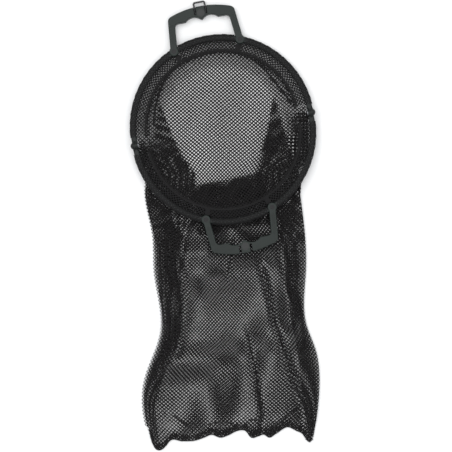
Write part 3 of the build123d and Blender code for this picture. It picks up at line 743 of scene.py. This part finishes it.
for turn, side, body in ((1, "rear", "rear_frame"), (-1, "front", "front_frame")):
    surface = sleeve(turn)
    cells = openings((0, ARC_STEPS), (0, WRAP))
    at = surface(cells[:, 0] * 1.0, cells[:, 1] * 1.0)
    x, y = np.abs(at[:, 0]), turn * at[:, 1]
    foot = np.hypot(x - FOOT_X, y - foot_y) < FOOT_HOLE
    leg = (y > foot_y) & (np.abs(x - leg_x(y)) < LEG_SLIT)
    name = f"{side}_net_sleeve"
    nets[name] = net(name, surface, cells[~(foot | leg)], sleeve_black, BACK_STRAND)
    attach(nets[name], body)
    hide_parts(f"{side}_sleeve")

# --- Hem -----------------------------------------------------------------------------------------------
HEM_AROUND = 2 * round(HEM_DEPTH / HALF)  # half diagonals from the seam below, round the edge, to it above
HEM_I = (round(HEM_EDGE[0][0] / HALF) + 1, round(HEM_EDGE[-1][0] / HALF) - 1)
HEM_STRAND = 1.3 * MM  # a little wider, as the net is drawn together there


def hem(i, j):
    """Folded hem: x along the bottom edge, in and out of small gathers, and j from the seam below, round the
    edge at the middle and back to the seam above. A gather is the sum of two sines 9 and 26 mm long."""
    x = i * HALF
    turn = np.clip(j / HEM_AROUND, 0, 1) * 2 - 1
    gather = np.sin(x / 0.0014 + 2 * np.sin(x / 0.011)) * 0.5 + 0.5 * np.sin(x / 0.0041 + 1)
    y = hem_edge(x) + 1.2 * MM + HEM_DEPTH * np.abs(turn) ** 1.3 + 0.9 * MM * gather * np.abs(turn)
    rise = 1.5 * MM * np.sin(np.pi / 2 * np.clip(turn * 2.5, -1, 1))
    z = 2.3 * MM + rise + 0.5 * MM * gather * (turn > 0) * turn
    return bag_to_frame(x + 0.8 * MM * np.sin(y / 0.004 + x / 0.02), y, z)


hem_net = net("hem_net", hem, openings(HEM_I, (0, HEM_AROUND)), net_black, HEM_STRAND)
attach(hem_net, "rear_frame")
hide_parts("bottom_hem")

# --- Cords sewn to the net -------------------------------------------------------------------------------
CORD_SIDES = 8
CAP_RINGS = 4  # rings over each end


def cord(name, path, radius, material):
    """A round cord on the rear frame along a path of points, with a half ball of its radius at each end.

    Each ring stands square to the path. Over an end the rings shrink by the sine of an angle and move on by
    its cosine, and a flat lid of strips closes the last one."""
    ahead = np.gradient(path, axis=0)
    ahead /= np.linalg.norm(ahead, axis=1)[:, None]
    side = np.cross(ahead, (0, 0, 1.0))
    side /= np.linalg.norm(side, axis=1)[:, None] + 1e-12
    down = np.cross(ahead, side)
    cap = np.sin(np.linspace(0.15, np.pi / 2, CAP_RINGS))
    slip = np.cos(np.linspace(0.15, np.pi / 2, CAP_RINGS))[:, None]
    first, last = path[:1] - ahead[:1] * radius * slip, path[-1:] + ahead[-1:] * radius * slip[::-1]
    middles = np.concatenate([first, path[1:-1], last])
    pick = np.clip(np.arange(len(middles)) - CAP_RINGS + 1, 0, len(path) - 1)
    size = radius * np.concatenate([cap, np.ones(len(path) - 2), cap[::-1]])
    angle = np.linspace(0, 2 * np.pi, CORD_SIDES, endpoint=False)
    ring = np.cos(angle)[:, None] * side[pick][:, None] + np.sin(angle)[:, None] * down[pick][:, None]
    points = (middles[:, None] + ring * size[:, None, None]).reshape(-1, 3)
    grid = np.arange(len(points)).reshape(len(middles), CORD_SIDES)
    after = np.roll(grid, -1, 1)
    quads = [np.stack([grid[:-1], after[:-1], after[1:], grid[1:]], -1).reshape(-1, 4)]
    half = np.arange(CORD_SIDES // 2 - 1)
    lids = np.stack([half, half + 1, CORD_SIDES - 2 - half, CORD_SIDES - 1 - half], -1)
    quads += [grid[0][lids[:, ::-1]], grid[-1][lids]]
    obj = make_mesh(name, points, np.concatenate(quads), material)
    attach(obj, "rear_frame")
    return obj


ROPE_R = 1.1 * MM
x = np.linspace(HEM_EDGE[0][0] + 1 * MM, HEM_EDGE[-1][0] - 1 * MM, 320)
rope_path = bag_to_frame(x, hem_edge(x) + 1.4 * MM, 2 * ROPE_R)
edge_rope = cord("hem_rope", rope_path, ROPE_R, hem_black)


def on_tube(x, y, front):
    """Height of the tube's back or front net at places in the bag's axes: x gives the lattice number."""
    share = (x - bag_side(y, -1)) / (bag_side(y, 1) - bag_side(y, -1))
    i = stations[4] - share * 2 * BACK if front else stations[0] + share * 2 * BACK
    return tube(i, y / HALF)[:, 2]


def line(knots, count):
    """Points along a curve through the knots (x, y), by their length, evenly spaced."""
    knots = np.array(knots)
    run = np.concatenate([[0], np.cumsum(np.linalg.norm(np.diff(knots, axis=0), axis=1))])
    at = np.linspace(0, run[-1], count)
    return curve(at, list(zip(run, knots[:, 0]))), curve(at, list(zip(run, knots[:, 1])))


# Gathered seam allowance of the back inside the rear tape: its distance from the middle of the bend in
# millimetres at angles in degrees. It wobbles by the stitches.
GATHER_R = 1.7 * MM
GATHER_LIFT = 1.6 * MM  # its middle over the back net
GATHER = [
    (9, 117), (17, 114.5), (27, 112), (37, 114), (49, 117.5), (61, 121.5), (70, 123), (85, 122.5),
    (95, 121.5), (105, 121.5), (116, 122), (127, 121), (140, 117), (155, 113), (168, 112),
]
angle = np.radians(np.linspace(GATHER[0][0], GATHER[-1][0], 260))
r = curve(np.degrees(angle), GATHER) * MM + 0.35 * MM * np.sin(angle * 83)
x, y = r * np.cos(angle), STRAIGHT + r * np.sin(angle)
flat = frame_to_bag(np.stack([x, y], -1))
z = on_tube(flat[:, 0], flat[:, 1], False) + GATHER_LIFT
gather_path = np.stack([x, y, z + 0.25 * MM * np.sin(angle * 140)], -1)
cord("seam_gather", gather_path, GATHER_R, tape_black)

THREAD_R = 0.8 * MM
SEAM_POINTS = 60
HEM_SEAMS = [  # lines of hem stitching that pull the front net in, in the bag's axes
    [(-0.080, -0.466), (-0.066, -0.477), (-0.054, -0.485), (-0.046, -0.493)],
    [
        (-0.026, -0.482), (-0.012, -0.478), (0.005, -0.477), (0.017, -0.480), (0.025, -0.486),
        (0.035, -0.482), (0.043, -0.474), (0.052, -0.473), (0.064, -0.477),
    ],
    [(0.131, -0.444), (0.119, -0.456), (0.107, -0.464), (0.098, -0.473), (0.086, -0.482), (0.075, -0.490)],
]
for n, knots in enumerate(HEM_SEAMS):
    x, y = line(knots, SEAM_POINTS)
    z = on_tube(x, y, True) + THREAD_R + 0.3 * MM * np.sin(np.arange(SEAM_POINTS) * 0.9)
    cord(f"hem_stitching_{n + 1}", bag_to_frame(x, y, z), THREAD_R, thread_black)

# --- Scene update --------------------------------------------------------------------------------------
bpy.context.view_layer.update()


# --- Floor, light and camera ---------------------------------------------------------------------------
# Uncoated white paper: even, bright and without gloss.
paper = bpy.data.materials.new("matt_white_paper")
paper.use_nodes = True
paper.node_tree.nodes["Principled BSDF"].inputs["Base Color"].default_value = srgb("#fbfbfb")
paper.node_tree.nodes["Principled BSDF"].inputs["Roughness"].default_value = 0.9
FLOOR_HALF = 4.0  # half the floor's side
FLOOR_Z = -0.3 * MM  # just under the bag
corners = np.array([(-1, -1), (1, -1), (1, 1), (-1, 1)]) * FLOOR_HALF
floor = make_mesh("floor", np.insert(corners, 2, FLOOR_Z, axis=1), np.array([[0, 1, 2, 3]]), paper)
floor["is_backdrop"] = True


def area_light(name, place, size, power, target=(0.0, -0.15, 0.0)):
    """Square soft light at a place, turned to face the target."""
    light = bpy.data.lights.new(name, "AREA")
    light.shape, light.size, light.energy = "SQUARE", size, power
    obj = bpy.data.objects.new(name, light)
    bpy.context.scene.collection.objects.link(obj)
    obj.location = place
    away = np.array(place) - np.array(target)
    away /= np.linalg.norm(away)
    obj.rotation_euler = (math.acos(away[2]), 0, math.atan2(away[0], -away[1]))


area_light("key", (-0.55, 0.6, 2.2), size=2.2, power=31)
area_light("fill", (0.9, -0.8, 2.1), size=2.0, power=15)
world = bpy.data.worlds.new("studio")
world.use_nodes = True
world.node_tree.nodes["Background"].inputs["Color"].default_value = srgb("#f4f6f8")
world.node_tree.nodes["Background"].inputs["Strength"].default_value = 0.68
bpy.context.scene.world = world
bpy.context.scene.view_settings.view_transform = "Standard"

camera = bpy.data.cameras.new("camera")
camera.sensor_width = 36.0
camera.lens = 121.8
camera.clip_end = 20
eye = bpy.data.objects.new("camera", camera)
bpy.context.scene.collection.objects.link(eye)
eye.location = (-0.0246, -0.1551, 2.5)
eye.rotation_euler = (0, 0, -BAG_LEAN)
bpy.context.scene.camera = eye

low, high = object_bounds()
{"cad": [list(cad_low), list(cad_high)], "visual": [list(low), list(high)]}
